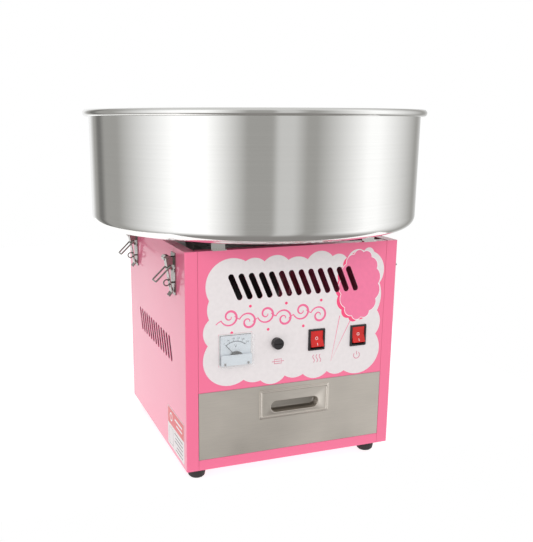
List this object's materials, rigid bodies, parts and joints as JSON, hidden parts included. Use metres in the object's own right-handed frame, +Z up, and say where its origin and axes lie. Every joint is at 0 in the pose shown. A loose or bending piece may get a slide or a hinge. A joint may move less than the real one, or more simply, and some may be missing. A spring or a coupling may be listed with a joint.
{
  "type": "cotton candy machine",
  "caption": "Counter-top cotton candy machine: square powder-coated cabinet with a drawer and controls, deep round bowl above and a spinning sugar head inside it.",
  "frame": {"origin": "on the floor below the axis of the bowl", "axes": "+Z up along the bowl's axis, front with the drawer and controls faces -Y, +X to the right of somebody facing the front"},
  "size_m": [0.52, 0.52, 0.5235],
  "materials": {
    "pink_powder_coat": "glossy",
    "bowl_steel": "bright",
    "drawer_steel": "brushed",
    "deck_steel": "satin",
    "nickel_plate": "satin",
    "black_rubber": "matte",
    "black_plastic": "satin",
    "red_plastic": "gloss",
    "clear_plastic": "gloss",
    "dial_print": "satin",
    "white_film": "satin",
    "label_film": "satin",
    "screw_steel": "satin",
    "contact_brass": "satin",
    "motor_paint": "satin",
    "carbon": "matte",
    "head_aluminium": "turned",
    "capacitor_can": "satin",
    "fuse_glass": "gloss",
    "terminal_plastic": "matte"
  },
  "bodies": {
    "cabinet": {"base_pan": "pink_powder_coat", "bowl_collar": "deck_steel", "brush_holder": "terminal_plastic", "capacitor": "capacitor_can", "carbon_brushes": "carbon", "data_label": "label_film", "deck_plate": "deck_steel", "drawer_runners": "deck_steel", "foot_front_left": "black_rubber", "foot_front_right": "black_rubber", "foot_rear_left": "black_rubber", "foot_rear_right": "black_rubber", "front_decal": "white_film", "front_panel": "pink_powder_coat", "fuse_holder": "black_plastic", "heat_switch_housing": "black_plastic", "latch_base_front_left": "nickel_plate", "latch_base_front_right": "nickel_plate", "latch_base_rear_left": "nickel_plate", "latch_base_rear_right": "nickel_plate", "latch_rivets": "nickel_plate", "left_side_panel": "pink_powder_coat", "machine_screws": "screw_steel", "motor_body": "motor_paint", "motor_bracket": "deck_steel", "motor_isolators": "black_rubber", "partition_shelf": "deck_steel", "power_inlet": "black_plastic", "power_switch_housing": "black_plastic", "rear_panel": "pink_powder_coat", "right_side_panel": "pink_powder_coat", "terminal_block": "terminal_plastic", "voltmeter_case": "black_plastic", "voltmeter_dial": "dial_print", "voltmeter_window": "clear_plastic"},
    "seat_ring": {"bowl_gasket": "black_rubber"},
    "bowl": {"bowl": "bowl_steel", "bowl_floor": "bowl_steel", "bowl_keepers": "bowl_steel"},
    "drawer": {"drawer_face": "drawer_steel", "drawer_tray": "drawer_steel", "drawer_pull": "drawer_steel"},
    "spinner": {"spindle": "screw_steel", "slip_rings": "contact_brass", "head_base": "head_aluminium", "heater_band": "contact_brass", "head_cap": "head_aluminium"},
    "meter_needle": {"meter_needle": "black_plastic"},
    "fuse": {"glass_fuse": "fuse_glass"},
    "fuse_cap": {"fuse_cap": "black_plastic"},
    "heat_rocker": {"heat_rocker": "red_plastic"},
    "power_rocker": {"power_rocker": "red_plastic"},
    "lever_front_left": {"latch_lever_front_left": "nickel_plate"},
    "bail_front_left": {"latch_bail_front_left": "nickel_plate"},
    "lever_front_right": {"latch_lever_front_right": "nickel_plate"},
    "bail_front_right": {"latch_bail_front_right": "nickel_plate"},
    "lever_rear_left": {"latch_lever_rear_left": "nickel_plate"},
    "bail_rear_left": {"latch_bail_rear_left": "nickel_plate"},
    "lever_rear_right": {"latch_lever_rear_right": "nickel_plate"},
    "bail_rear_right": {"latch_bail_rear_right": "nickel_plate"}
  },
  "joints": [
    {"name": "bowl_lift", "type": "slide", "parent": "cabinet", "child": "seat_ring", "axis": [0, 0, 1], "range_m": [0, 0.15]},
    {"name": "bowl_turn", "type": "hinge", "parent": "seat_ring", "child": "bowl", "pos_m": [0, 0, 0.353], "axis": [0, 0, 1], "continuous": true},
    {"name": "drawer_slide", "type": "slide", "parent": "cabinet", "child": "drawer", "axis": [0, -1, 0], "range_m": [0, 0.24]},
    {"name": "spinner_spin", "type": "hinge", "parent": "cabinet", "child": "spinner", "pos_m": [0, 0, 0.362], "axis": [0, 0, 1], "continuous": true},
    {"name": "meter_needle_swing", "type": "hinge", "parent": "cabinet", "child": "meter_needle", "pos_m": [-0.0908, -0.172, 0.1878], "axis": [0, 1, 0], "range_deg": [0, 84], "stiffness_Nm_per_rad": 0.0002, "springref_deg": -5.73},
    {"name": "heat_switch_rock", "type": "hinge", "parent": "cabinet", "child": "heat_rocker", "pos_m": [0.0352, -0.164, 0.1987], "axis": [1, 0, 0], "range_deg": [0, 24]},
    {"name": "power_switch_rock", "type": "hinge", "parent": "cabinet", "child": "power_rocker", "pos_m": [0.1033, -0.164, 0.1987], "axis": [1, 0, 0], "range_deg": [0, 24]},
    {"name": "fuse_slide", "type": "slide", "parent": "cabinet", "child": "fuse", "axis": [0, -1, 0], "range_m": [0, 0.055]},
    {"name": "fuse_cap_turn", "type": "hinge", "parent": "fuse", "child": "fuse_cap", "pos_m": [-0.0282, -0.172, 0.2002], "axis": [0, -1, 0], "range_deg": [0, 90]},
    {"name": "latch_lever_front_left", "type": "hinge", "parent": "cabinet", "child": "lever_front_left", "pos_m": [-0.1717, -0.115, 0.321], "axis": [0, 1, 0], "range_deg": [0, 100]},
    {"name": "latch_bail_front_left", "type": "hinge", "parent": "lever_front_left", "child": "bail_front_left", "pos_m": [-0.17, -0.115, 0.312], "axis": [0, -1, 0], "range_deg": [-120, 22]},
    {"name": "latch_lever_front_right", "type": "hinge", "parent": "cabinet", "child": "lever_front_right", "pos_m": [0.1717, -0.115, 0.321], "axis": [0, -1, 0], "range_deg": [0, 100]},
    {"name": "latch_bail_front_right", "type": "hinge", "parent": "lever_front_right", "child": "bail_front_right", "pos_m": [0.17, -0.115, 0.312], "axis": [0, 1, 0], "range_deg": [-120, 22]},
    {"name": "latch_lever_rear_left", "type": "hinge", "parent": "cabinet", "child": "lever_rear_left", "pos_m": [-0.1717, 0.115, 0.321], "axis": [0, 1, 0], "range_deg": [0, 100]},
    {"name": "latch_bail_rear_left", "type": "hinge", "parent": "lever_rear_left", "child": "bail_rear_left", "pos_m": [-0.17, 0.115, 0.312], "axis": [0, -1, 0], "range_deg": [-120, 22]},
    {"name": "latch_lever_rear_right", "type": "hinge", "parent": "cabinet", "child": "lever_rear_right", "pos_m": [0.1717, 0.115, 0.321], "axis": [0, -1, 0], "range_deg": [0, 100]},
    {"name": "latch_bail_rear_right", "type": "hinge", "parent": "lever_rear_right", "child": "bail_rear_right", "pos_m": [0.17, 0.115, 0.312], "axis": [0, 1, 0], "range_deg": [-120, 22]}
  ]
}
